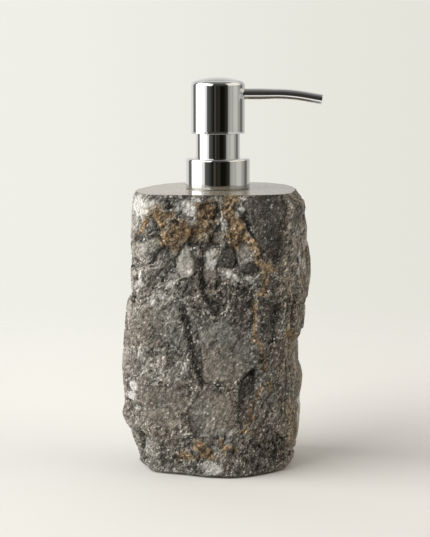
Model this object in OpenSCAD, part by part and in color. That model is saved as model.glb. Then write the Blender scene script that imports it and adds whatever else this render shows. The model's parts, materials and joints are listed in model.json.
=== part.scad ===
// Soap pump dispenser: a split-faced stone bottle with a chromed lotion pump.
// Millimetres, +Z up. The origin is on the pump's axis, at the surface that the bottle stands on.
// +X is the way the spout points, and -Y is the front.

/* [Stone] */
// Height of the sawn top face above the standing surface
stone_top = 134; // [130:1:140]
// Thickness of the foam pad under the stone
pad_t = 1; // [0.8:0.1:1.5]
// Radius of the foam pad
pad_r = 31; // [29.5:0.5:32]
// Radius of the reservoir bored up from below
reservoir_r = 27; // [24:0.5:28]
// Thickness of stone left above the reservoir
roof_t = 18; // [16:1:24]
// Radius of the plug that closes the reservoir
plug_r = 28.5; // [28.2:0.1:29.5]
// Thickness of the plug
plug_t = 8; // [6:0.5:10]
// How far the split faces swell and dip
rough = 0.8; // [0:0.1:1.2]

/* [Threaded neck] */
// Radius of the insert's shank and of the hole it is bonded into
shank_r = 13; // [12.5:0.1:13.5]
// Length of shank inside the stone
shank_l = 12; // [8:1:14]
// Radius of the insert's bore, which the pump drops through
mouth_r = 10; // [9.5:0.1:10.4]
// Radius of the neck under its thread
neck_r = 12.8; // [12.6:0.1:12.9]
// Radius over the thread
thread_r = 13.5; // [13.3:0.05:13.5]
// Rise of the thread in one turn
pitch = 4.2; // [3:0.1:4.5]
// Height of the neck above the stone
neck_h = 10; // [9:0.5:11]

/* [Collar] */
// Outside radius of the chromed collar
collar_r = 15.5; // [15.3:0.1:17]
// Height of the collar's top above the stone
collar_h = 14.7; // [14.5:0.1:16]
// Wall of the chromed shells
shell_t = 0.6; // [0.4:0.1:0.6]

/* [Head] */
// Outside radius of the pressing head
head_r = 13; // [12.5:0.1:14]
// Height of the head from its lower rim to the crown
head_h = 27; // [26:0.5:30]
// Clear height between the collar and the head at rest
head_gap = 11.8; // [11.5:0.1:13]
// Stroke of the pump
stroke = 11; // [8:0.5:11]
// Radius of the shallow crown
crown_r = 36; // [30:1:45]
// Radius of the chromed sleeve between collar and head
sleeve_r = 10.65; // [10.5:0.05:10.8]

/* [Spout] */
// Outside radius of the spout where it leaves the head
spout_r = 2.7; // [2.5:0.1:3]
// Outside radius of the spout at its tip
spout_tip_r = 2.45; // [2.2:0.05:2.5]
// Wall of the spout
spout_t = 0.6; // [0.4:0.1:0.7]
// Distance from the pump's axis to where the spout starts to bend
bend_x = 28; // [24:1:34]
// Radius of the bend
bend_r = 80; // [60:5:120]
// Angle that the spout turns down
bend_deg = 10; // [5:1:20]
// Straight length after the bend
tip_l = 8.3; // [5:0.1:12]
// Height of the spout's axis above the head's lower rim
spout_up = 18.9; // [18.5:0.1:20]

/* [Pump] */
// Bore radius of the pump's cylinder
bore_r = 7; // [6.5:0.1:7.2]
// Outside radius of the pump's cylinder
barrel_r = 8.6; // [8.4:0.1:8.8]
// Outside radius of the hollow stem
stem_r = 3.5; // [3.3:0.1:3.6]
// Bore radius of the stem
stem_bore_r = 1.9; // [1.7:0.1:2]
// Radius of the inlet ball
ball_r = 2.4; // [2.2:0.1:2.5]
// Wire radius of the return spring
wire_r = 0.45; // [0.35:0.05:0.5]
// Radius from the axis to the middle of the spring's wire
coil_r = 4.65; // [4.6:0.05:4.8]
// Turns of the return spring
coil_turns = 7; // [5:1:8]

/* [Dip tube] */
// Outside radius of the dip tube
tube_r = 2.9; // [2.5:0.1:3]
// Bore radius of the dip tube
tube_bore_r = 2; // [1.5:0.1:2.1]
// Height of the tube's lowest point above the reservoir's floor
tube_clear = 3; // [2:0.5:8]

/* [Hidden] */
$fn = 72;
// How far a cutting shape runs past the face that it cuts
cut = 1;
// Radial clearance of a part that slides in another
slip = 0.03;

// Heights of the stone's levels, from the sawn base to the sawn top
stone_base = pad_t;
plug_top = stone_base + plug_t;
plug_seal_t = 0.8;
shoulder_z = plug_top + plug_seal_t;
roof_z = stone_top - roof_t;

// Heights in the closure
flange_t = 1;
neck_top = stone_top + neck_h;
gasket_t = 1;
housing_flange_z = neck_top + gasket_t;
housing_flange_t = 1.2;
deck_z = housing_flange_z + housing_flange_t;
collar_foot = stone_top + 0.3;
collar_top = stone_top + collar_h;
collar_hole_r = sleeve_r + 0.35;
liner_r = collar_r - shell_t;
liner_root_r = liner_r - 0.9;
liner_crest_r = thread_r + 0.1;

// Heights in the head
head_foot = collar_top + head_gap;
head_top = head_foot + head_h;
spout_z = head_foot + spout_up;
core_r = head_r - shell_t;
core_foot = spout_z - 3.8;
core_top = head_top - 3.4;
hub_foot = core_foot - 8.1;
hub_r = 5.2;
sleeve_top = head_foot + 3.5;
spout_seat_x = 4.5;
taper_x = 20;
spout_sides = 28;

// Heights in the pump, from the guide at its top down to the dip tube's socket
guide_z = deck_z + 4.8;
guide_t = 3;
cap_r = sleeve_r - 0.5;
stop_z = guide_z - 13;
wiper_r = 5;
piston_h = 8.5;
piston_foot = stop_z - piston_h;
rod_flange_z = piston_foot + 0.5;
rod_flange_t = 1.5;
rod_seat_z = rod_flange_z + rod_flange_t;
hub_seat_h = 3.3;
valve_slip = 1.2;
stem_foot = rod_seat_z + hub_seat_h + valve_slip;
stem_top = spout_z - 1.2;
barrel_floor = 103;
barrel_wall = 2.5;
lower_r = 5.2;
ball_floor = 94;
chamber_r = 3.2;
seat_r = 1.6;
socket_top = 92;
socket_foot = 84;
cage_foot = 99.6;
cage_hole_r = 1.7;
cage_flange_t = 1.2;
spring_foot = barrel_floor + cage_flange_t;
spring_top = rod_flange_z;
ball_z = ball_floor + sqrt(ball_r * ball_r - seat_r * seat_r);
tube_foot = plug_top + tube_clear;

// The split block: each arris line has an azimuth, and its distance from the axis at each level.
levels = [1, 18, 44, 68, 96, 118, 134];
arrises = [
    [0, [36.5, 38, 40, 40.5, 44.5, 42.5, 38.5]],
    [22, [37, 40, 42, 42, 43, 42, 39]],
    [48, [43, 46, 47, 46, 45, 45, 42]],
    [75, [37, 40, 41, 41, 40, 39, 37]],
    [103, [37, 39, 42, 41, 40, 39, 37]],
    [130, [42, 46, 48, 47, 46, 46, 44]],
    [158, [38, 42, 44, 44, 42, 41, 39]],
    [187, [38, 43, 46, 45.5, 42, 41.5, 40]],
    [207, [39, 43, 47, 47, 45, 44, 43]],
    [226, [41, 46, 50, 50, 51, 51, 51]],
    [250, [38.5, 41, 43, 42.5, 41, 40.5, 41.5]],
    [272, [40.5, 41, 42, 41, 39, 38, 39.5]],
    [298, [39.5, 41, 44, 45, 46, 45.5, 44.5]],
    [318, [38.5, 39, 43, 45, 47, 48, 47]],
    [340, [36, 37.5, 39, 41, 44, 44, 41]]
];
side_steps = 4;
layer_steps = 30;

// ---- Shared shapes ----

// A cylinder between two heights
module disc(r, low, high) {
    translate([0, 0, low]) cylinder(r = r, h = high - low);
}

// A tube between two heights
module tube(outer, inner, low, high) {
    difference() {
        disc(outer, low, high);
        disc(inner, low - cut, high + cut);
    }
}

// Joins rings of equal length into one closed skin. A closed loop of rings needs no end caps.
module skin(rings) {
    n = len(rings[0]);
    last = len(rings) - 1;
    walls = [
        for (k = [0:last - 1], i = [0:n - 1])
            let (a = k * n + i, b = k * n + (i + 1) % n)
                each [[a, b, b + n], [a, b + n, a + n]]
    ];
    bottom = [for (i = [1:n - 2]) [0, i + 1, i]];
    top = [for (i = [1:n - 2]) [last * n, last * n + i, last * n + i + 1]];
    polyhedron(points = [for (ring = rings) each ring], faces = concat(walls, bottom, top));
}

// A helical ridge whose section is a trapezium, from the buried radius out to the crest
module thread_ridge(buried_r, crest_r, low, turns) {
    steps = 28;
    half_root = 1.05;
    half_crest = 0.45;
    section = [
        [buried_r, -half_root], [crest_r, -half_crest], [crest_r, half_crest], [buried_r, half_root]
    ];
    rings = [
        for (k = [0:ceil(turns * steps)])
            let (a = 360 * k / steps, z = low + pitch * k / steps)
                [for (p = section) [p[0] * cos(a), p[0] * sin(a), z + p[1]]]
    ];
    if (crest_r > buried_r) skin(rings);
    else skin([for (ring = rings) [for (i = [3:-1:0]) ring[i]]]);
}

// ---- Bottle ----

function arris_radius(i, z) =
    let (row = arrises[i % len(arrises)][1])
        lookup(z, [for (k = [0:len(levels) - 1]) [levels[k], row[k]]]);

function arris_point(i, z) =
    let (a = arrises[i % len(arrises)][0], r = arris_radius(i, z))
        [r * cos(a), r * sin(a)];

// Swells and dips of the split faces: slow waves that don't repeat round the block
function swell(a, z) =
    rough * (
        0.5 * sin(9 * a + 4.1 * z)
        + 0.3 * sin(17 * a - 9.7 * z + 60)
        + 0.35 * sin(5 * a + 14.3 * z + 200)
    );

function block_ring(z) = [
    for (i = [0:len(arrises) - 1], j = [0:side_steps - 1])
        let (
            t = j / side_steps,
            p = (1 - t) * arris_point(i, z) + t * arris_point(i + 1, z),
            a = atan2(p[1], p[0]),
            r = norm(p) + swell(a, z)
        )
            [r * cos(a), r * sin(a), z]
];

module split_block() {
    skin([for (k = [0:layer_steps]) block_ring(stone_base + (stone_top - stone_base) * k / layer_steps)]);
}

module stone_body() {
    color("dimgray")
        difference() {
            split_block();
            disc(shank_r, roof_z - cut, stone_top + cut);
            disc(reservoir_r, shoulder_z - cut, roof_z);
            disc(plug_r, stone_base - cut, shoulder_z);
        }
}

module neck_insert() {
    color("lightsteelblue")
        difference() {
            union() {
                disc(shank_r, stone_top - shank_l, stone_top);
                disc(shank_r + 1.5, stone_top, stone_top + flange_t);
                disc(neck_r, stone_top, neck_top);
                thread_ridge(neck_r - 0.3, thread_r, stone_top + 3, 1.25);
            }
            disc(mouth_r, stone_top - shank_l - cut, neck_top + cut);
        }
}

module base_plug() {
    color("slategray")
        disc(plug_r, stone_base, plug_top);
}

module plug_seal() {
    color("whitesmoke")
        tube(plug_r, reservoir_r - 1.5, plug_top, shoulder_z);
}

module base_pad() {
    color("black")
        disc(pad_r, 0, pad_t);
}

// ---- Collar ----

module collar_shell() {
    edge = 1.2;
    color("silver")
        difference() {
            rotate_extrude()
                polygon([
                    [0, collar_foot], [collar_r - 0.2, collar_foot], [collar_r, collar_foot + 0.3],
                    for (a = [0:15:90])
                        [collar_r - edge + edge * cos(a), collar_top - edge + edge * sin(a)],
                    [0, collar_top]
                ]);
            disc(liner_r, collar_foot - cut, collar_top - shell_t);
            disc(collar_hole_r, collar_foot - cut, collar_top + cut);
        }
}

module collar_liner() {
    color("gainsboro")
        union() {
            difference() {
                disc(liner_r, stone_top + flange_t + 0.4, collar_top - shell_t);
                disc(liner_root_r, stone_top + flange_t + 0.4 - cut, deck_z);
                disc(collar_hole_r, deck_z - cut, collar_top);
            }
            thread_ridge(liner_root_r + 0.3, liner_crest_r, stone_top + 3 + pitch / 2, 1.25);
        }
}

// ---- Pump ----

module pump_housing() {
    color("white")
        difference() {
            union() {
                disc(barrel_r, barrel_floor - barrel_wall, guide_z);
                disc(neck_r - 0.4, housing_flange_z, deck_z);
                disc(lower_r, socket_foot, barrel_floor);
            }
            disc(bore_r, barrel_floor, guide_z + cut);
            disc(chamber_r, ball_floor, barrel_floor + cut);
            disc(seat_r, socket_top - cut, ball_floor + cut);
            disc(tube_r, socket_foot - cut, socket_top);
        }
}

module neck_gasket() {
    color("dimgray")
        tube(neck_r - 0.3, barrel_r, neck_top, housing_flange_z);
}

module retaining_cap() {
    color("whitesmoke")
        difference() {
            union() {
                disc(cap_r, deck_z, sleeve_top - shell_t);
                disc(bore_r - 0.1, stop_z, guide_z);
            }
            difference() {
                disc(barrel_r, deck_z - cut, guide_z);
                disc(bore_r - 0.1, deck_z - 2 * cut, guide_z + cut);
            }
            disc(barrel_r, guide_z + guide_t, sleeve_top + cut);
            disc(wiper_r, stop_z - cut, guide_z);
            disc(stem_r + 0.1, stop_z, sleeve_top);
        }
}

module neck_sleeve() {
    color("silver")
        difference() {
            disc(sleeve_r, deck_z, sleeve_top);
            disc(cap_r, deck_z - cut, sleeve_top - shell_t);
            disc(barrel_r + 0.4, deck_z, sleeve_top + cut);
        }
}

module stem_wiper() {
    color("black")
        tube(wiper_r, stem_r + slip, guide_z - 3, guide_z);
}

module ball_cage() {
    slot = 1.2;
    color("lightgray")
        difference() {
            union() {
                disc(chamber_r, cage_foot, barrel_floor);
                disc(bore_r, barrel_floor, spring_foot);
                disc(coil_r - wire_r - 0.3, spring_foot, spring_foot + 2.8);
            }
            disc(cage_hole_r, cage_foot - cut, spring_foot + 2.8 + cut);
            for (a = [0, 90])
                rotate([0, 0, a])
                    translate([-bore_r, -slot / 2, cage_foot - cut])
                        cube([2 * bore_r, slot, barrel_floor - cage_foot]);
        }
}

// A round-wire coil whose first and last half turns lie flat
module return_spring() {
    steps = 16;
    sides = 6;
    low = spring_foot + wire_r;
    high = spring_top - wire_r;
    count = coil_turns * steps;
    flat = steps / 2;
    rings = [
        for (k = [0:count])
            let (
                a = 360 * k / steps,
                t = min(1, max(0, (k - flat) / (count - 2 * flat))),
                z = low + (high - low) * t
            )
                [for (s = [0:sides - 1])
                    let (b = 360 * s / sides, r = coil_r + wire_r * cos(b))
                        [r * cos(a), r * sin(a), z + wire_r * sin(b)]]
    ];
    color("silver") skin(rings);
}

module dip_tube() {
    color("white")
        difference() {
            tube(tube_r, tube_bore_r, tube_foot, socket_top);
            translate([-tube_r, 0, tube_foot])
                rotate([0, -45, 0])
                    translate([0, -10, -20])
                        cube([20, 20, 20]);
        }
}

module inlet_ball() {
    color("silver")
        translate([0, 0, ball_z]) sphere(r = ball_r);
}

// ---- Plunger and head ----

module piston_seal() {
    wall = 0.75;
    hub = 3.2;
    web_z = rod_seat_z + 1;
    color("ivory")
        difference() {
            union() {
                tube(bore_r - slip, bore_r - wall, piston_foot, stop_z);
                disc(bore_r - wall + 0.1, web_z, web_z + 1.6);
                disc(hub, rod_seat_z, rod_seat_z + hub_seat_h);
            }
            disc(stem_bore_r + slip, rod_seat_z - cut, stop_z);
        }
}

module piston_rod() {
    nose_r = 3.6;
    flange_r = 5.4;
    way_r = 1.1;
    port_r = 0.6;
    rod_top = stem_foot + 8;
    color("ivory")
        difference() {
            union() {
                disc(nose_r, rod_flange_z - 2, rod_flange_z);
                disc(flange_r, rod_flange_z, rod_seat_z);
                disc(stem_bore_r, rod_seat_z, rod_top);
            }
            disc(way_r, rod_seat_z + 0.1, rod_top + cut);
            translate([-stem_bore_r - cut, 0, rod_seat_z + port_r + 0.1])
                rotate([0, 90, 0])
                    cylinder(r = port_r, h = 2 * (stem_bore_r + cut));
        }
}

module pump_stem() {
    color("white")
        tube(stem_r, stem_bore_r, stem_foot, stem_top);
}

module head_core() {
    rib = 1.4;
    boss_r = 4.6;
    groove_x = 7.6;
    color("whitesmoke")
        difference() {
            union() {
                disc(hub_r, hub_foot, core_top);
                tube(core_r, core_r - 1.2, core_foot, core_top);
                for (a = [45:90:315])
                    rotate([0, 0, a])
                        translate([0, -rib / 2, core_foot])
                            cube([core_r - 0.6, rib, core_top - core_foot]);
                intersection() {
                    translate([0, 0, spout_z]) rotate([0, 90, 0]) cylinder(r = boss_r, h = core_r);
                    disc(core_r - 0.6, core_foot, core_top);
                }
            }
            disc(stem_r, hub_foot - cut, stem_top);
            disc(stem_bore_r, stem_top - cut, spout_z);
            translate([0, 0, spout_z]) rotate([0, 90, 0]) cylinder(r = stem_bore_r, h = core_r);
            translate([spout_seat_x, 0, spout_z]) rotate([0, 90, 0]) cylinder(r = spout_r, h = core_r);
            translate([groove_x, 0, spout_z]) rotate([0, 90, 0]) cylinder(r = spout_r + 1.1, h = 1.2);
        }
}

module spout_seal() {
    color("black")
        translate([8.2, 0, spout_z])
            rotate([0, 90, 0])
                rotate_extrude() translate([spout_r + 0.55, 0]) circle(r = 0.54);
}

module head_shell() {
    edge = 2.4;
    shoulder = head_top - 3.75;
    color("silver")
        difference() {
            intersection() {
                rotate_extrude()
                    polygon([
                        [0, head_foot], [head_r - 0.15, head_foot], [head_r, head_foot + 0.2],
                        for (a = [0:11.25:90])
                            [head_r - edge + edge * cos(a), shoulder + edge * sin(a)],
                        [0, head_top]
                    ]);
                translate([0, 0, head_top - crown_r]) sphere(r = crown_r);
            }
            intersection() {
                disc(core_r, head_foot - cut, head_top);
                union() {
                    disc(core_r, head_foot - cut, core_top);
                    disc(core_r - 2.2, head_foot, core_top + 1.6);
                }
            }
            translate([0, 0, spout_z]) rotate([0, 90, 0]) cylinder(r = spout_r + 0.1, h = head_r + cut);
        }
}

function bend_point(a) = [bend_x + bend_r * sin(a), 0, spout_z - bend_r + bend_r * cos(a)];

// A ring across the spout where it has turned down by angle a
function spout_ring(p, a, r) = [
    for (s = [0:spout_sides - 1])
        let (b = 360 * s / spout_sides)
            p + r * [sin(a) * cos(b), sin(b), cos(a) * cos(b)]
];

// The spout's skin at a distance inside its outer face: straight, then a taper, the bend and the tip
module spout_skin(inset, extra) {
    ahead = [cos(bend_deg), 0, -sin(bend_deg)];
    tip = bend_point(bend_deg) + (tip_l + extra) * ahead;
    skin([
        spout_ring([spout_seat_x - extra, 0, spout_z], 0, spout_r - inset),
        spout_ring([taper_x, 0, spout_z], 0, spout_r - inset),
        for (a = [0:bend_deg / 5:bend_deg]) spout_ring(bend_point(a), a, spout_tip_r - inset),
        spout_ring(tip, bend_deg, spout_tip_r - inset)
    ]);
}

module spout_tube() {
    color("silver")
        difference() {
            spout_skin(0, 0);
            spout_skin(spout_t, cut);
        }
}

stone_body();
neck_insert();
base_plug();
plug_seal();
base_pad();
collar_shell();
collar_liner();
pump_housing();
neck_gasket();
retaining_cap();
neck_sleeve();
stem_wiper();
ball_cage();
return_spring();
dip_tube();
inlet_ball();
piston_seal();
head_shell();
head_core();
spout_tube();
spout_seal();
pump_stem();
piston_rod();
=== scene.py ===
"""The looks of a soap pump: a split stone block, a chromed pump, a pale floor and soft studio light."""
import json
import math

import bmesh
import bpy
import numpy as np
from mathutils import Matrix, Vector
from mathutils.bvhtree import BVHTree


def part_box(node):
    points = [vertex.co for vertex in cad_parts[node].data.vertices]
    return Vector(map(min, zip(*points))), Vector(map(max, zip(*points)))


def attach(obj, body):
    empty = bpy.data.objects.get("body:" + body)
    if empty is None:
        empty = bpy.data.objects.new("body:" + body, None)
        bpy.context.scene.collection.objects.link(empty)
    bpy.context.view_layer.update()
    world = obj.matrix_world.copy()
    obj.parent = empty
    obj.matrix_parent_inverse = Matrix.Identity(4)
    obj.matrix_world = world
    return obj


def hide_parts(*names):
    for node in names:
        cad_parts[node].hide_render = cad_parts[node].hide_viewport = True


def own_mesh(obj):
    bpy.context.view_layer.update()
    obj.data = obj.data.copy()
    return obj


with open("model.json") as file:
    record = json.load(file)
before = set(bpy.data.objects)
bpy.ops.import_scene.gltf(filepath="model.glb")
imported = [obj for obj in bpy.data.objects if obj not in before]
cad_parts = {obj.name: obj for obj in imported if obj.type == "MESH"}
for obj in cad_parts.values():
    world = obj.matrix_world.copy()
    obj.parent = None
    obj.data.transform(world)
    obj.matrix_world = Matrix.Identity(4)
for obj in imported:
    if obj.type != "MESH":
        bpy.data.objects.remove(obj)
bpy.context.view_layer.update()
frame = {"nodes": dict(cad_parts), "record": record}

MM = 0.001
NODES = frame["nodes"]
# The camera's distance and height, how far it tips down and rolls in degrees, and its lens in millimetres
CAMERA_AWAY, CAMERA_UP = 902.0, 207.5
CAMERA_DOWN, CAMERA_ROLL = 7.118, 0.089
CAMERA_LENS = 125.4


def add_object(name, data):
    thing = bpy.data.objects.new(name, data)
    bpy.context.scene.collection.objects.link(thing)
    return thing


def new_mesh(name, points, faces):
    """A mesh from points in metres."""
    mesh = bpy.data.meshes.new(name)
    mesh.from_pydata(points, [], faces)
    return mesh


def mm_box(node):
    """A CAD node's lowest and highest corners, in millimetres."""
    low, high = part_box(node)
    return np.array(low) / MM, np.array(high) / MM


# ---- Camera ----

def make_camera():
    """A long lens in front of the object, a little above it, tipped down."""
    data = bpy.data.cameras.new("camera")
    data.sensor_width = 36.0
    data.lens = CAMERA_LENS
    data.clip_start = 0.05
    camera = add_object("camera", data)
    camera.location = (0.0, -CAMERA_AWAY * MM, CAMERA_UP * MM)
    camera.rotation_euler = (math.radians(90.0 - CAMERA_DOWN), 0.0, math.radians(CAMERA_ROLL))
    bpy.context.scene.camera = camera


# ---- Node trees ----

class Tree:
    """Adds and wires shader nodes. An input is a constant, or another node's output socket."""

    def __init__(self, owner):
        owner.use_nodes = True
        self.tree = owner.node_tree
        self.tree.nodes.clear()

    def add(self, kind, inputs=None, **settings):
        node = self.tree.nodes.new("ShaderNode" + kind)
        for name, value in settings.items():
            setattr(node, name, value)
        for key, value in (inputs or {}).items():
            self.plug(node.inputs[key], value)
        return node

    def plug(self, socket, value):
        if isinstance(value, bpy.types.NodeSocket):
            self.tree.links.new(value, socket)
        else:
            socket.default_value = value

    def math(self, operation, a, b=0.0, clamp=False):
        return self.add("Math", {0: a, 1: b}, operation=operation, use_clamp=clamp).outputs[0]

    def times(self, product, *factors):
        for factor in factors:
            product = self.math("MULTIPLY", product, factor)
        return product

    def vector(self, operation, a, b=(0.0, 0.0, 0.0)):
        return self.add("VectorMath", {0: a, 1: b}, operation=operation).outputs[0]

    def ramp(self, value, low, high, out_low=0.0, out_high=1.0):
        """A smooth step of value from low to high."""
        inputs = {"Value": value, "From Min": low, "From Max": high, "To Min": out_low, "To Max": out_high}
        return self.add("MapRange", inputs, interpolation_type="SMOOTHSTEP").outputs[0]

    def band(self, value, low, high, soft):
        """1 between low and high, and 0 outside."""
        rise = self.ramp(value, low - soft, low + soft)
        fall = self.ramp(value, high - soft, high + soft, 1.0, 0.0)
        return self.times(rise, fall)

    def mix(self, share, a, b, blend="MIX"):
        node = self.add("Mix", data_type="RGBA", blend_type=blend)
        self.plug(node.inputs["Factor"], share)
        self.plug(node.inputs["A"], a)
        self.plug(node.inputs["B"], b)
        return node.outputs["Result"]

    def over(self, colour, share, amount, top):
        """The colour with another laid over it, where the share is and as strongly as the amount."""
        return self.mix(self.times(share, amount), colour, rgb(*top))

    def noise(self, where, scale, detail=3.0, roughness=0.5, distortion=0.0):
        """Cloudy noise from 0 to 1. Its features are about 1 / scale metres across."""
        inputs = {"Vector": where, "Scale": scale, "Detail": detail, "Roughness": roughness}
        return self.add("TexNoise", {**inputs, "Distortion": distortion}).outputs[0]

    def voronoi(self, where, scale, feature="F1"):
        return self.add("TexVoronoi", {"Vector": where, "Scale": scale}, feature=feature)

    def bump(self, height, strength, distance):
        return self.add("Bump", {"Height": height, "Strength": strength, "Distance": distance}).outputs[0]

    def attribute(self, name):
        return self.add("Attribute", attribute_name=name).outputs["Fac"]

    def chips(self, where, scale, slope):
        """The height in metres of small flat chips, each tilted its own way, and a shade for each: a
        lightness that is partly the chip's own tone and partly painted light and shade for its tilt.
        """
        cell = self.voronoi(where, scale)
        offset = self.vector("SUBTRACT", where, cell.outputs["Position"])
        tilt = self.vector("SUBTRACT", cell.outputs["Color"], (0.5, 0.5, 0.5))
        lean = self.add("VectorMath", {0: offset, 1: tilt}, operation="DOT_PRODUCT").outputs["Value"]
        shade = self.add("SeparateColor", {0: cell.outputs["Color"]}).outputs[1]
        return self.times(lean, 2.0 * slope), shade

    def terraces(self, value, step, share):
        """The value in whole steps, each reached by a ramp over that share of it, and where the ramps are."""
        count = self.math("DIVIDE", value, step)
        part = self.math("FRACT", count)
        rise = self.ramp(part, 1.0 - share, 1.0)
        level = self.times(self.math("ADD", self.math("FLOOR", count), rise), step)
        return level, self.band(part, 1.0 - share, 1.0, 0.08)

    def dress(self, shader, colour, roughness, normal, metallic=0.0):
        values = {"Base Color": colour, "Roughness": roughness, "Normal": normal, "Metallic": metallic}
        for name, value in values.items():
            self.plug(shader.inputs[name], value)

    def stops(self, value, low, high, colours):
        """A row of colours, given as (value, red, green, blue), joined by straight fades."""
        place = self.add("MapRange", {"Value": value, "From Min": low, "From Max": high}).outputs[0]
        ramp = self.add("ValToRGB", {0: place})
        elements = ramp.color_ramp.elements
        for k, (at, *colour) in enumerate(colours):
            element = elements[k] if k < 2 else elements.new(1.0)
            element.position = (at - low) / (high - low)
            element.color = rgb(*colour)
        return ramp.outputs["Color"]


def rgb(r, g, b):
    return (r, g, b, 1.0)


def new_material(name):
    """A material, its tree, its shader, already wired to the output, and the place on the object."""
    material = bpy.data.materials.new(name)
    tree = Tree(material)
    shader = tree.add("BsdfPrincipled")
    tree.add("OutputMaterial", {"Surface": shader.outputs[0]})
    where = tree.add("TexCoord").outputs["Object"]
    return material, tree, shader, where


# ---- Noise on arrays of points, in millimetres ----

# The lean from the horizontal of the stone's layers, as seen from the front
LAYERS_LEAN = math.radians(52)


def hash01(cell, seed):
    """A repeatable random number from 0 to 1 for each integer cell."""
    c = cell.astype(np.int64)
    h = (c[..., 0] * 73856093) ^ (c[..., 1] * 19349663) ^ (c[..., 2] * 83492791) ^ (seed * 40503)
    for _ in range(2):
        h &= 0xFFFFFFFF
        h = (h ^ (h >> 16)) * 0x45D9F3B
    h &= 0xFFFFFFFF
    return ((h ^ (h >> 16)) & 0xFFFFFF) / 0x1000000


def noise(p, size, seed):
    """Smooth value noise from -1 to 1, with features of about that size."""
    q = p / size
    cell = np.floor(q)
    f = q - cell
    f = f * f * f * (f * (f * 6 - 15) + 10)
    total = np.zeros(len(p))
    for corner in np.ndindex(2, 2, 2):
        weight = np.prod(np.where(corner, f, 1 - f), axis=1)
        total += weight * hash01(cell + corner, seed)
    return total * 2 - 1


def fbm(p, size, seed, octaves=4, gain=0.5):
    total, height = np.zeros(len(p)), 1.0
    for k in range(octaves):
        total += height * noise(p, size / 2 ** k, seed + 7 * k)
        height *= gain
    return total


def warp(p, size, amount, seed):
    """Points moved about by noise, so that what is drawn there gets ragged borders."""
    return p + amount * np.stack([fbm(p, size, seed + 31 * k, 3) for k in range(3)], axis=1)


def cells(p, size, seed):
    """For each point and its nearest scattered seed: the gap to the second nearest, the offset, the cell."""
    q = p / size
    home = np.floor(q)
    best = np.full(len(p), 1e9)
    second = np.full(len(p), 1e9)
    offset = np.zeros_like(p)
    owner = np.zeros_like(p)
    for step in np.ndindex(3, 3, 3):
        cell = home + np.array(step) - 1
        jitter = np.stack([hash01(cell, seed + k) for k in range(3)], axis=1)
        away = q - cell - jitter
        dist = np.linalg.norm(away, axis=1)
        nearer = dist < best
        second = np.where(nearer, best, np.minimum(second, dist))
        best = np.where(nearer, dist, best)
        offset = np.where(nearer[:, None], away, offset)
        owner = np.where(nearer[:, None], cell, owner)
    return (second - best) * size, offset * size, owner


def plates(p, size, seed, lift, slope, ragged=0.22):
    """Flat tilted plates: the relief, a random -0.5 to 0.5 for each plate, and how near its border is."""
    gap, offset, owner = cells(warp(p, size, ragged * size, seed + 900), size, seed)
    tilt = np.stack([hash01(owner, seed + 50 + k) - 0.5 for k in range(3)], axis=1)
    relief = lift * (hash01(owner, seed + 60) * 2 - 1) + 2 * slope * np.sum(tilt * offset, axis=1)
    return relief, hash01(owner, seed + 80) - 0.5, 1 - smooth(gap, 0.2, 0.9)


def facets(p, size, seed, lift, slope, ragged=0.22):
    return plates(p, size, seed, lift, slope, ragged)[0]


def smooth(x, low, high):
    t = np.clip((x - low) / (high - low), 0, 1)
    return t * t * (3 - 2 * t)


def lean_over(p):
    """The same points with what leans from low on the left to high on the right drawn out."""
    c, s = math.cos(LAYERS_LEAN), math.sin(LAYERS_LEAN)
    along_it, across_it = p[:, 0] * c + p[:, 2] * s, p[:, 2] * c - p[:, 0] * s
    return np.stack([across_it, p[:, 1], 0.5 * along_it], axis=1)


def terraces(p, size, seed, height, step):
    """Thin flat layers broken off along curved ledges, out of a rolling surface."""
    count = (height * fbm(warp(p, size, 0.15 * size, seed + 900), size, seed, 3)) / step
    return step * (np.floor(count) + smooth(count - np.floor(count), 0.7, 1.0))


# ---- The split stone ----
# Places on the front face are (x, z) in millimetres: x to the right of the pump's axis, z above the floor.

# The block's left and right outlines as seen from the front, as (z, x)
LEFT_OUTLINE = [
    (1, -37.2), (4, -38.2), (7, -39), (10, -40.2), (13, -41.2), (16, -41.9), (19, -43.9), (22, -45.4),
    (26, -46.2), (30, -45.1), (33, -44.9), (38, -45.6), (48, -46.2), (60, -45.4), (71, -44.4), (77, -44),
    (80, -43.4), (83, -42.2), (86, -41.2), (92, -41.8), (98, -41.7), (103, -41), (106, -41.5), (112, -41.7),
    (118, -41.2), (124, -41.1), (129, -40.5), (132, -40), (134, -39.2)
]
RIGHT_OUTLINE = [
    (1, 36), (6, 37.4), (9, 38.1), (15, 39), (21, 39.5), (27, 40), (30, 39.5), (33, 39.6), (36, 40.3),
    (42, 40.9), (46, 40.2), (50, 38.8), (59, 38.7), (63, 39.4), (66, 40.3), (69, 41.3), (75, 42), (80, 42.1),
    (83, 42.9), (86, 43.9), (92, 44.6), (100, 44.4), (103, 43.9), (106, 43.5), (109, 42.5), (115, 42.7),
    (120, 41.8), (123, 41.4), (126, 41.9), (129, 41.2), (131, 39.8), (134, 37.3)
]

# The outlines of the sawn base and of the sawn top, as (azimuth in degrees, distance from the axis)
FOOT = [
    (9, 36.7), (22, 37), (48, 43), (75, 37), (103, 37), (130, 42), (158, 38), (181, 37.8), (201, 38.8),
    (208, 38.7), (219, 41.4), (226, 40.7), (235, 38.5), (244, 37.3), (254, 38.2), (267, 39.6), (279, 41),
    (291, 40.3), (307, 39.1), (319, 38.6), (327, 38.5), (342, 36)
]
BRIM = [
    (6, 36.3), (25, 38), (34, 39.6), (45, 40.8), (54, 43), (62, 42), (75, 39), (90, 38.5), (105, 39),
    (117, 40.3), (132, 38.7), (143, 37.1), (164, 36.4), (174, 37), (183, 38.6), (195, 41.4), (212, 45.5),
    (228, 50), (243, 43.4), (256, 40.9), (270, 40), (284, 41), (297, 43.8), (307, 46), (319, 44), (333, 39.5),
    (345, 37.6)
]

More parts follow.
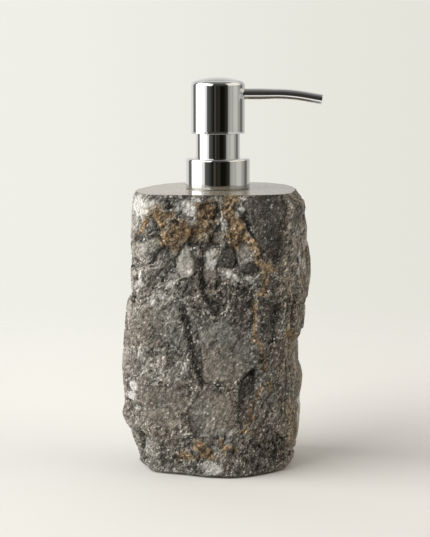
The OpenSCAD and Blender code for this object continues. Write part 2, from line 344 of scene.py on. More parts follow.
# Steps, drawn downwards, as (points, drop, width, run): the face drops over the width on the picture's right
# of the line, and recovers over the run
STEPS = [
    ([(-19.2, 85), (-18.8, 80), (-18, 76), (-16.6, 72), (-16, 68), (-14.6, 64), (-13.4, 59), (-12, 53),
      (-10.8, 49), (-9.4, 45), (-7.6, 41)], 3.2, 1.9, 16),
    ([(-9.8, 106), (-9.6, 101), (-9.3, 96), (-9.4, 91), (-8, 87), (-5.4, 82), (-2.4, 77.5), (0, 75)],
      2.8, 1.3, 12),
    ([(20, 54), (16, 52), (12.6, 47), (10, 42), (9.4, 37), (8.2, 33), (9.6, 28)], 2, 1.3, 12),
    ([(10, 127), (11.6, 122), (14.4, 116.5), (17.6, 111.5), (19.6, 106), (22.6, 101)], 1.9, 1.3, 9),
    ([(28.4, 84), (28.6, 79), (27.6, 72), (26.4, 64)], -1.4, 1.2, 6)
]

# Ledges, drawn to the right, as (points, drop, run): the face above the line is set back, and recovers over
# the run
LEDGES = [
    ([(-38.5, 111), (-33.5, 112.6), (-28.4, 114.4), (-25, 112.2)], 2.6, 12),
    ([(-15, 110), (-9, 109.8), (-4, 110.4), (2, 110.2)], 2.6, 2.2),
    ([(-38.4, 27.5), (-33.5, 31), (-28, 33.4), (-21, 34.6)], 1.4, 8),
    ([(-23, 18.2), (-15, 19), (-6, 19.4), (1, 19.8)], -1.3, 10)
]

# Grooves, whose height is negative, and then ridges, as (points, half width, height)
CREASES = [
    ([(-24.4, 111), (-27.8, 106.8), (-30.6, 103.6)], 0.9, -1.5),
    ([(-21, 105.6), (-20.2, 99.4)], 0.8, -1),
    ([(-18.4, 93.6), (-16.4, 90.4)], 0.8, -1),
    ([(-11.8, 82), (-9.6, 78.4)], 0.8, -1),
    ([(-14.2, 94), (-14.8, 88.6)], 0.7, -0.8),
    ([(19.4, 61), (21.4, 57.6), (21.6, 53)], 0.9, -1.2),
    ([(21, 43.6), (18, 37.6), (17, 31.6), (15.6, 26), (12.6, 22.6), (9.6, 20.2)], 0.8, -0.8),
    ([(-3, 121), (-5.4, 116.6)], 1, -1.2),
    ([(-24, 132.6), (-23, 127)], 1.3, -1.8),
    ([(2.4, 118), (5.4, 112.4)], 1, -1.2),
    ([(34.6, 88), (34, 78), (33.6, 70)], 1.6, -1.3),
    ([(36.4, 50), (36, 46.6)], 0.8, -1.4),
    ([(31.6, 38), (31.2, 30), (31.6, 22)], 1, -1.2),
    ([(10.6, 94), (9, 86), (8.6, 80)], 0.9, -1),
    ([(-27.4, 46.4), (-26.6, 43.4)], 0.6, -0.9),
    ([(-20.6, 92.6), (-23.4, 91), (-27, 87.4), (-30.2, 82.6), (-35.6, 78.6), (-38.4, 71), (-42, 65.6)],
      1.5, 1),
    ([(-28.6, 126), (-27.6, 120.6), (-25.8, 116.4), (-24, 111.2)], 1.5, 1.3),
    ([(33.4, 131), (33.6, 122), (32.2, 112), (31.6, 104), (30.2, 99)], 1.3, 0.8),
    ([(-38.4, 24.6), (-37.2, 20.6), (-33.6, 18.6), (-29.6, 16.6), (-27.6, 13), (-28.4, 7)], 1.2, 0.9),
    ([(-9.4, 115), (-6, 115.4), (-3.2, 116.2)], 0.9, 0.9),
    ([(9.6, 46.4), (12.4, 50), (16.6, 52.6), (20.4, 56)], 1.2, 0.6),
    ([(0.4, 80), (2.8, 83), (5.6, 84.6)], 0.5, 0.5),
    ([(1.6, 76), (4.6, 79.6)], 0.5, 0.4),
    ([(-9.6, 65.4), (-6.4, 67.6), (-3, 65.6), (0.4, 66.4)], 0.6, 0.4),
    ([(5.2, 111.6), (3.8, 117.4), (1.6, 122)], 0.8, 0.9),
    ([(-32.6, 114.8), (-28.4, 116.2)], 0.6, 0.8)
]

# Flakes, as (corners, height, rise to the right, rise upwards, how calm its grain is, tone). The tone is
# partly the stone's own and partly painted light and shade: flakes facing the light are painted lighter, sunk
# ones darker
FLAKES = [
    ([(-34.6, 122), (-30.6, 123.4), (-27.6, 120), (-26.8, 115.6), (-32, 113.4), (-37.4, 112)],
      -2.4, -0.20, 0, 0.3, -0.40),
    ([(-38, 111), (-28.4, 114), (-24.6, 111), (-28, 106.4), (-33, 101.6), (-39.6, 103.6)],
      0.5, 0.10, -0.14, 0.5, 0.42),
    ([(-28, 106), (-24.4, 110.4), (-21.4, 108), (-21, 101), (-24, 97), (-31, 98)], -0.4, -0.16, 0, 0.4, 0.12),
    ([(-17.6, 110.6), (-14, 109.6), (-11, 104.6), (-9.8, 100), (-12.6, 95.6), (-17, 94.6), (-20, 99),
      (-20.5, 104)], 0.6, 0.30, -0.16, 0.8, 0.50),
    ([(-8, 109.6), (1.6, 110), (0.4, 104), (-1, 95.6), (-6.4, 91.6), (-7.8, 98)], -1, 0.14, -0.06, 0.5, 0.32),
    ([(2.4, 109.6), (7, 110.6), (10, 105), (11, 101), (6, 99.6), (1, 101), (0.4, 104)],
      -1.6, -0.28, 0.05, 0.9, -0.9),
    ([(8, 109.6), (11, 113), (16, 110.6), (17.6, 103), (12, 101), (10, 105)], -1, 0.12, -0.10, 0.7, 0.10),
    ([(11, 101), (17, 102), (21, 98.6), (15, 95.6), (7.4, 98)], -1.4, -0.22, 0.28, 0.8, -0.60),
    ([(12.4, 133), (30, 134), (33, 125), (31.6, 110), (29.6, 102), (20.6, 103), (18, 111.4), (15, 114.6),
      (11.6, 124)], -1.2, -0.28, 0, 0.75, -0.85),
    ([(-24, 110.6), (-26, 117), (-22, 122), (-13, 121), (-7, 117.6), (-10, 115), (-15, 113), (-18, 110.6)],
      0, -0.12, -0.16, 0, -0.10),
    ([(-18, 131.4), (-10, 132), (-10, 125), (-14, 123), (-18, 125)], -0.8, 0.22, 0, 0.6, 0.45),
    ([(-8, 130), (0, 131), (1, 124), (-4, 121.6), (-8, 124)], -2, -0.22, 0, 0.3, -0.55),
    ([(4.6, 92), (17, 90), (18, 72), (12, 70), (8.4, 76), (5, 82)], -0.9, -0.18, 0, 0.3, -0.40),
    ([(20, 86), (28.4, 82), (28, 73), (27, 64.6), (21, 63.6)], -1.3, -0.16, 0, 0, -0.40),
    ([(12.8, 47), (18, 52), (19.6, 47), (16.6, 40), (10.4, 36), (9.8, 40)], -2, -0.16, -0.10, 0.3, -0.50),
    ([(10.6, 35), (17, 40), (16, 27), (11, 24), (9.4, 28)], -1.3, -0.08, 0, 0.2, -0.06),
    ([(-37.4, 21), (-30, 17.4), (-28, 14), (-27.2, 10), (-28.6, 4), (-35, 3), (-38, 10)],
      -1.2, 0.40, 0.06, 0.2, 0.15),
    ([(-27, 16.6), (-19, 18), (-17, 8), (-21, 3), (-27.6, 4)], -1.3, -0.16, 0.10, 0.1, -0.30),
    ([(-16.6, 14), (-13, 14.6), (-12.4, 10.4), (-15, 9.4), (-17.4, 11)], 0.2, 0.30, -0.2, 0.5, 0.15),
    ([(8, 20), (24, 24), (33, 15), (31, 5), (18, 2), (7, 3)], -0.9, -0.18, 0.04, 0, -0.35),
    ([(-37, 78.6), (-31, 81), (-20, 79), (-17.4, 68), (-27, 62), (-41, 65)], 0.3, -0.06, 0.03, 0.5, -0.10),
    ([(-34, 58), (-22, 60), (-13, 56), (-13, 48), (-24, 45), (-36, 50)], 0.3, 0.06, -0.05, 0.3, 0.22),
    ([(-8, 43), (6, 40), (8, 26), (-1, 20), (-12, 22), (-14, 33)], 0.3, 0.04, 0.02, 0.7, 0.02),
    ([(-10, 72), (4, 76), (14, 62), (17, 54), (8, 46), (-7, 46)], -0.6, 0.02, 0, 0.75, 0),
    ([(-37, 44), (-20, 44), (-14, 34), (-22, 22), (-36, 30)], 0.2, 0.04, -0.03, 0.7, -0.02),
    ([(-46, 64), (-38.6, 70), (-38, 80), (-44, 84)], -0.6, 0.5, 0, 0.4, 0.15)
]

# Where the face is crushed and grainy, as (centre, half width, half height)
CRUSHED = [
    ((-10, 123), 22, 11), ((-8, 8), 18, 7), ((7, 119), 6, 13), ((20, 13), 14, 9), ((18.5, 107), 3, 6),
    ((-32, 96), 9, 8), ((4, 88), 9, 9), ((12, 48), 8, 5)
]

# Rust stains, as (points, half width)
RUST = [
    ([(-34, 125), (-34.6, 120), (-36.4, 115.4)], 1),
    ([(-29.6, 127), (-28, 121), (-26, 117), (-24.2, 111.4)], 2.4),
    ([(-30, 123), (-22, 124.6)], 1.8),
    ([(-22.6, 112.8), (-20, 116), (-15, 118), (-8, 117.4)], 4.6),
    ([(-20, 120.4), (-14, 120.6)], 2.2),
    ([(-8.6, 129), (-6.6, 126), (-8, 122.6), (-5, 121)], 1.8),
    ([(-4.2, 129), (-3.4, 124)], 3.2),
    ([(6.6, 133), (5, 128), (6.6, 123), (8.6, 119), (6.6, 116)], 3),
    ([(10.6, 120), (13.6, 115.6)], 2),
    ([(7, 114.4), (8, 111)], 2.4),
    ([(10.8, 113.6), (16.4, 112.6), (18.2, 108), (19.4, 104), (23.6, 100.6)], 2),
    ([(26.6, 99.4), (28, 98.6)], 1),
    ([(23.2, 97.4), (22.2, 91), (21, 88)], 1.7),
    ([(18.6, 84), (18, 79), (18.2, 72), (17.6, 66), (19.6, 61.6), (22.6, 57), (22.8, 52)], 1.1),
    ([(24.6, 45.6), (25.6, 41.4)], 1.1),
    ([(21, 43), (18, 37), (17, 32), (16.6, 27.4)], 0.7),
    ([(16, 26), (13, 23), (10, 20.6)], 0.4),
    ([(32, 69), (35, 64)], 1.4),
    ([(-9, 15), (-6.6, 12)], 2.9),
    ([(-18.6, 9.6), (-13.6, 8.6)], 2.3),
    ([(0.4, 18.4), (2, 14)], 1.4),
    ([(4, 15), (6.6, 13)], 1.3),
    ([(-10, 9), (-2, 10.4)], 1.3)
]

# Pale crystalline patches, as (centre, half width, half height)
PALE = [
    ((-36.5, 128), 3.6, 6), ((-31, 129.6), 3.4, 4), ((-16.2, 128.6), 2.8, 3.4), ((-12.6, 127.6), 2.6, 2.8),
    ((-11.6, 121.4), 2.2, 1.8), ((-4, 106.6), 1.8, 3.2), ((-2.6, 102.4), 2.4, 1.5), ((-4.2, 100.2), 1.8, 1.2),
    ((-12.6, 98.2), 1.5, 1.8), ((-10.2, 106), 1.2, 0.6), ((5, 97.2), 2.4, 2.2), ((2, 97.4), 0.8, 2.8),
    ((8.8, 94.4), 1.2, 2.8), ((16.2, 94), 1.7, 1.8), ((-23, 91.6), 2, 1.6), ((-26.6, 87.6), 1.8, 2.4),
    ((-29.4, 84), 1.6, 2.4), ((-38.8, 42), 2, 2.4), ((-39.6, 36), 1.8, 3), ((-37.2, 31.6), 0.6, 0.8),
    ((-37, 57.8), 1.3, 2.2), ((5, 17), 1.8, 1.6), ((-2, 5.4), 5, 2.8), ((6.4, 20.8), 2.4, 1.6),
    ((39.2, 116), 0.8, 3), ((40.6, 110), 0.8, 2.6), ((38, 103), 0.7, 3.6), ((41.2, 99), 0.7, 4),
    ((36.6, 97), 0.6, 3), ((-30.6, 115.4), 2.4, 0.6), ((-36, 94), 1.6, 4), ((13, 133), 1.4, 1),
    ((2.6, 120), 1.8, 3.4), ((-9.6, 131.6), 3, 0.8), ((10.4, 125), 1.2, 3)
]

# Lighter and darker areas, as (centre, half width, half height, lean in degrees, amount). Some are the
# stone's own tone and some are painted light and shade, such as the bright left strip facing the light and
# the painted shadow under the ledge at (-8, 111.2)
TONES = [
    ((-38, 122), 4.4, 12, -8, 0.35), ((-31, 130), 4.4, 4, 0, 0.35), ((-8, 111.2), 6, 1.2, 2, -0.6),
    ((-40, 84), 7, 12, -20, 0.22), ((-37.6, 94), 5, 7, 0, 0.25), ((-24, 128.6), 3, 4.6, 0, -0.4),
    ((6.6, 80), 2.6, 3.6, 0, -0.4), ((12.6, 88), 3.6, 4.6, 0, -0.3), ((-2, 52), 12, 8, 0, 0.08),
    ((30, 124.6), 2.6, 5, -20, 0.3), ((23, 83), 3, 6, 0, -0.5), ((18.6, 72), 2.4, 9, 0, -0.4),
    ((-24, 81), 11, 9, 0, 0.3), ((33.6, 79), 2, 9, 0, -0.35), ((30, 74), 1.4, 9, 0, 0.2),
    ((-2, 7), 8, 5, 0, 0.25), ((36, 108), 3, 14, 0, 0.2), ((32, 14), 4, 8, 0, -0.3),
    ((25, 50), 3, 9, 0, 0.12), ((-31, 98), 7, 9, 0, 0.25)
]

def along(points, x, z):
    """Distance from a line, above 0 on its right-hand side as drawn, and how far along it, from 0 to 1."""
    points = np.array(points, float)
    lengths = np.linalg.norm(np.diff(points, axis=0), axis=1)
    best = np.full(len(x), 1e9)
    signed = np.zeros(len(x))
    share = np.zeros(len(x))
    done = 0.0
    for a, b, length in zip(points[:-1], points[1:], lengths):
        direction = (b - a) / length
        t = np.clip((x - a[0]) * direction[0] + (z - a[1]) * direction[1], 0, length)
        dx, dz = x - a[0] - t * direction[0], z - a[1] - t * direction[1]
        dist = np.hypot(dx, dz)
        side = np.sign(dz * direction[0] - dx * direction[1])
        nearer = dist < best
        best = np.where(nearer, dist, best)
        signed = np.where(nearer, -side * dist, signed)
        share = np.where(nearer, (done + t) / lengths.sum(), share)
        done += length
    return signed, share


def fade_ends(share):
    return smooth(share, 0.0, 0.12) * (1 - smooth(share, 0.88, 1.0))


def inside(centre, half_w, half_h, lean, x, z):
    """The squared distance from an ellipse's centre, 1 at its edge."""
    c, s = math.cos(math.radians(lean)), math.sin(math.radians(lean))
    dx, dz = x - centre[0], z - centre[1]
    return ((dx * c + dz * s) / half_w) ** 2 + ((dz * c - dx * s) / half_h) ** 2


def front_relief(x, z):
    """The steps, ledges and creases of the front face, and the painted shade inside them."""
    # dark holds painted shade: the sunk side of each step, the line of each ledge and the floor of each
    # groove
    relief, dark = np.zeros(len(x)), np.zeros(len(x))
    for points, drop, width, run in STEPS:
        signed, share = along(points, x, z)
        d, ends = -signed, fade_ends(share)
        relief -= drop * ends * np.clip(d / width, 0, 1) * np.exp(-np.maximum(d - width, 0) / run)
        if drop > 0:
            dark = np.maximum(dark, ends * smooth(d, 0.0, 0.5) * (1 - smooth(d, 0.8 * width, 1.3 * width)))
    for points, drop, run in LEDGES:
        d, share = along(points, x, z)
        relief -= drop * smooth(-d, -0.2, 0.9) * np.exp(-np.maximum(-d, 0) / run) * fade_ends(share)
        dark = np.maximum(dark, 0.6 * fade_ends(share) * (1 - smooth(np.abs(d), 0.2, 0.9)))
    for points, half, height in CREASES:
        d, share = along(points, x, z)
        relief += height * np.clip(1 - np.abs(d) / half, 0, 1) * fade_ends(share)
        if height < 0:
            dark = np.maximum(dark, fade_ends(share) * (1 - smooth(np.abs(d), 0.3 * half, half)))
    return relief, dark


def depth_inside(corners, x, z):
    """How far inside a convex outline each place is, and less than nothing outside it."""
    corners = np.array(corners, float)
    centre = corners.mean(axis=0)
    depth = np.full(len(x), 1e9)
    for a, b in zip(corners, np.roll(corners, -1, axis=0)):
        across = np.array([-(b - a)[1], (b - a)[0]]) / np.linalg.norm(b - a)
        across *= math.copysign(1, across @ (centre - a))
        depth = np.minimum(depth, (x - a[0]) * across[0] + (z - a[1]) * across[1])
    return depth


def lay_flakes(relief, x, z, ragged):
    """Puts flat tilted flakes in place of the relief: the new relief, where it is calm, and the tone, partly
    painted light and shade.
    """
    calm, tone = np.zeros(len(x)), np.zeros(len(x))
    for corners, height, right, up, smoothness, lightness in FLAKES:
        middle_x, middle_z = np.mean(corners, axis=0)
        depth = depth_inside(corners, x, z) + ragged
        share = smooth(depth, -0.35, 0.35)
        seam = (1 - smooth(np.abs(depth), 0.2, 0.8)) * min(1.0, abs(height))
        plane = height + right * (x - middle_x) + up * (z - middle_z)
        relief = relief * (1 - share) + (plane + 0.4 * relief) * share - 0.35 * seam
        calm = calm * (1 - share) + smoothness * share
        tone = tone * (1 - share) + lightness * share - 0.22 * seam
    return relief, calm, tone


def base_radius(azimuth, z):
    """How far the CAD block reaches at each azimuth (radians) and height (mm), by casting rays at it."""
    node = NODES["stone_body"]
    tree = BVHTree.FromPolygons([v.co for v in node.data.vertices], [p.vertices for p in node.data.polygons])
    low, high = mm_box("stone_body")
    far = 80.0
    radius = np.zeros(len(azimuth))
    for k, (a, height) in enumerate(zip(azimuth, np.clip(z, low[2] + 0.01, high[2] - 0.01))):
        out = Vector((math.cos(a), math.sin(a), 0))
        start = out * far * MM + Vector((0, 0, height * MM))
        radius[k] = far - tree.ray_cast(start, -out)[3] / MM
    return radius


def blur(field, across, down):
    """A field on the grid, averaged over that many steps of azimuth, which wraps round, and of height."""
    for axis, size in ((1, across), (0, down)):
        shifts = np.arange(-3 * size, 3 * size + 1)
        kernel = np.exp(-0.5 * (shifts / size) ** 2)
        kernel /= kernel.sum()
        total = np.zeros_like(field)
        for shift, weight in zip(shifts, kernel):
            if axis == 1:
                total += weight * np.roll(field, shift, axis=1)
            else:
                rows = np.clip(np.arange(len(field)) + shift, 0, len(field) - 1)
                total += weight * field[rows]
        field = total
    return field


def pull_to(radius, azimuth, z, ring, level, reach):
    """Draws the faces to a ring's outline at one level, less and less over the reach above or below it."""
    bearings, wanted = np.array(ring, float).T
    target = np.interp(np.degrees(azimuth), bearings, wanted, period=360)
    weight = np.exp(-np.abs(z - level) / reach)
    return radius + (target - radius) * weight


def fit_outline(radius, azimuth, z):
    """Scales each level so that the outlines seen from the front, left and right, are the drawn ones."""
    # Each side's azimuth, and how far in front of the axis its outline lies, in millimetres
    sides = ((LEFT_OUTLINE, -1, math.pi, 14.0), (RIGHT_OUTLINE, 1, 0.0, 12.0))
    for outline, sign, middle, depth in sides:
        levels, wanted = np.array(outline, float).T
        target = np.interp(z[:, 0], levels, np.abs(wanted)) / (CAMERA_AWAY - depth)
        away = np.abs((azimuth - middle + math.pi) % (2 * math.pi) - math.pi)
        weight = 1 - smooth(away, math.radians(30), math.radians(60))
        for _ in range(4):
            x, y = sign * radius * np.cos(azimuth), radius * np.sin(azimuth)
            reach = (x / (CAMERA_AWAY + y)).max(axis=1)
            radius = radius * (1 + weight * (target / reach - 1)[:, None])
    return radius


def stone_grid():
    """The split faces as a grid: azimuth, height, radius and masks, row by row from the base up."""
    low, high = mm_box("stone_body")
    across, down = 432, 213
    scatter = np.random.default_rng(7)
    uneven = 0.6 * (scatter.random((2, down - 2, across)) - 0.5)
    crowding = 0.28  # draws the columns together towards the front
    azimuth, z = np.meshgrid(np.arange(across), np.linspace(low[2], high[2], down))
    azimuth = azimuth.astype(float)
    azimuth[1:-1] += uneven[0]
    azimuth *= 2 * math.pi / across
    azimuth += crowding * np.cos(azimuth + math.pi)
    z[1:-1] += uneven[1] * (high[2] - low[2]) / (down - 1)
    flat = base_radius(azimuth.ravel(), z.ravel()).reshape(azimuth.shape)
    radius = blur(flat, 3, 4)
    p = np.stack([radius * np.cos(azimuth), radius * np.sin(azimuth), z], axis=2).reshape(-1, 3)
    front = smooth(-p[:, 1], 6, 22)
    right = smooth(p[:, 0], 27, 33) * smooth(-p[:, 1], -34, -24)

    crushed = np.zeros(len(p))
    for centre, half_w, half_h in CRUSHED:
        ragged = inside(centre, half_w, half_h, 0, p[:, 0], p[:, 2]) + 0.35 * fbm(p, 8, 5)
        crushed = np.maximum(crushed, (1 - smooth(ragged, 0.6, 1.3)) * front)
    crushed = np.maximum(crushed, (1 - front) * smooth(fbm(p, 40, 17, 2), 0.35, 0.7))

    warped = warp(p, 6, 0.4, 71)
    x, height = warped[:, 0], warped[:, 2]
    lines, dark = front_relief(x, height)
    placed, flat, tone = lay_flakes(lines, x, height, 0.4 * fbm(p, 4, 73, 3))
    flat *= front
    # Painted shade: the tone is darkened inside the steps, ledges and grooves
    tone -= 1.2 * dark

    grain_stretch = np.array([1.0, 1.0, 0.22])
    q = p * np.where(right[:, None] > 0.5, grain_stretch, 1.0)
    large = np.minimum(facets(p, 30, 11, 0.8, 0.14, 0.15) + facets(p, 19, 23, 0.6, 0.17, 0.12), 0.8) - 1.0
    middle, middle_tone, middle_seam = plates(lean_over(q), 10.0, 41, 0.5, 0.2, 0.1)
    layers, layer_tone, layer_seam = plates(lean_over(q), 5.2, 47, 0.3, 0.24, 0.12)
    layers += 0.35 * terraces(lean_over(q), 14.0, 53, 2.0, 0.8) * (1 - front)
    small = facets(q, 2.8, 59, 0.16, 0.3, 0.12)
    middle_seam = middle_seam * smooth(noise(p, 13, 67), -0.2, 0.3)
    seams = np.maximum(middle_seam, 0.7 * layer_seam * smooth(noise(p, 9, 69), 0.1, 0.5))
    layers -= 0.4 * seams
    tone += (0.4 * middle_tone + 0.3 * layer_tone - 0.35 * seams) * (1 - flat)
    relief = large * (1 - 0.85 * front) + middle * (1 - 0.3 * front + 0.3 * crushed) * (1 - 0.9 * flat)
    fine = layers * (0.7 + 0.4 * crushed) + small * (0.3 + 1.0 * crushed)
    relief += fine * (1 - 0.85 * flat) * (0.55 + 0.45 * front)
    relief += 0.16 * (scatter.random(len(p)) - 0.5) * (1 - 0.6 * flat)
    relief = (relief + placed * front).reshape(z.shape)
    radius = radius + relief
    radius = pull_to(radius, azimuth, z, FOOT, low[2], 4.0)
    facing = front * (1 - smooth(np.abs(p[:, 0]), 22, 30))
    radius = pull_to(radius, azimuth, z, BRIM, high[2], 11.0 - 8.0 * facing.reshape(z.shape))
    radius = fit_outline(radius, azimuth, z)

    rim = np.minimum(z - low[2], high[2] - z)
    chip = 0.5 * (0.5 + 0.5 * noise(p, 5, 83).reshape(z.shape)) * np.exp(-rim / 0.8)
    radius = radius - chip
    masks = {
        "layered": right.reshape(z.shape),
        "flat": (flat + 0.6 * (1 - front)).reshape(z.shape),
        "edge": radius - blur(radius, 2, 2),
        "cavity": radius - blur(radius, 4, 3),
        **stains(p, front, tone, z.shape),
    }
    return azimuth, z, radius, masks


def stains(p, front, tone, shape):
    """Where the face is rusty, pale, or lighter or darker than the rest, the last partly painted light and
    shade. The flakes' tone, partly painted light and shade too, is given.
    """
    warped = warp(p, 7, 1.5, 91)
    x, z = warped[:, 0], warped[:, 2]
    rust = np.zeros(len(p))
    for points, half in RUST:
        d, _ = along(points, x, z)
        rust = np.maximum(rust, 1 - smooth(np.abs(d), 0.2 * half, 1.6 * half))
    pale = np.zeros(len(p))
    for centre, half_w, half_h in PALE:
        pale = np.maximum(pale, 1 - smooth(inside(centre, half_w, half_h, 0, x, z), 0.3, 1.4))
    for centre, half_w, half_h, lean, amount in TONES:
        tone = tone + amount * (1 - smooth(inside(centre, half_w, half_h, lean, x, z), 0.55, 1.35))
    seams = 1 - smooth(np.abs(fbm(p, 46, 101, 3)), 0.015, 0.075)
    blotches = smooth(fbm(p, 30, 103, 3), 0.55, 0.9)
    rest = 0.8 * np.maximum(seams * smooth(noise(p, 25, 107), -0.1, 0.4), blotches)
    pale_rest = 0.7 * smooth(fbm(p, 14, 109, 3), 0.62, 0.9)
    return {
        "rust": (rust * front + rest * (1 - front)).reshape(shape),
        "pale": (pale * front + pale_rest * (1 - front)).reshape(shape),
        "tone": (tone + 0.4 * fbm(p, 18, 113, 3) * (1 - front)).reshape(shape),
    }


def ring_faces(rings, count):
    """Quads between rings of vertices, each given by the index of its first vertex."""
    faces = []
    for low, high in zip(rings[:-1], rings[1:]):
        for i in range(count):
            j = (i + 1) % count
            faces.append((low + i, low + j, high + j, high + i))
    return faces


def make_stone():
    """The block: split sides, sawn top and base, the neck's hole, the reservoir and the plug's recess."""
    azimuth, z, radius, masks = stone_grid()
    count, rows = azimuth.shape[1], len(azimuth)
    sides = np.stack([radius * np.cos(azimuth), radius * np.sin(azimuth), z], axis=2)

    flange, neck_depth = 1.5, 18.0
    neck_r = mm_box("neck_insert")[1][0] - flange
    plug_r = mm_box("base_plug")[1][0]
    plug_top = mm_box("plug_seal")[1][2]
    base, top = z[0, 0], z[-1, 0]
    roof, store_r = top - neck_depth, 27.0
    around = np.stack([np.cos(azimuth[0]), np.sin(azimuth[0])], axis=1)

    def circle(r, height):
        return np.column_stack([around * r, np.full(count, height)])

    def between(outer, inner, share):
        return outer + (inner - outer) * share

    hole_top, recess_foot = circle(neck_r, top), circle(plug_r, base)
    top_rings = [between(sides[-1], hole_top, s) for s in (0.02, 0.2, 0.5, 0.8)]
    inside_of = ((neck_r, roof), (store_r, roof), (store_r, plug_top), (plug_r, plug_top))
    inner_rings = [hole_top] + [circle(*at) for at in inside_of] + [recess_foot]
    foot_rings = [between(recess_foot, sides[0], s) for s in (0.5, 0.97)]
    rings = list(sides) + top_rings + inner_rings + foot_rings
    points = np.concatenate(rings) * MM
    starts = [k * count for k in range(len(rings))] + [0]
    faces = ring_faces(starts, count)

    mesh = new_mesh("stone", points.tolist(), faces)
    for name, values in masks.items():
        attribute = mesh.attributes.new(name, "FLOAT", "POINT")
        padded = np.zeros(len(points), np.float32)
        padded[:rows * count] = values.ravel()
        attribute.data.foreach_set("value", padded)
    sawn_from = (rows - 1) * count
    sawn = np.zeros(len(faces), np.int32)
    sawn[sawn_from:] = 1
    mesh.materials.append(split_stone())
    mesh.materials.append(sawn_stone())
    mesh.polygons.foreach_set("material_index", sawn)
    smooth_flags = np.zeros(len(faces), bool)
    smooth_flags[:sawn_from] = True
    mesh.polygons.foreach_set("use_smooth", smooth_flags)
    mesh.update()
    stone = add_object("split_stone_block", mesh)
    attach(stone, "vessel")
    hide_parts("stone_body")


# ---- Materials ----

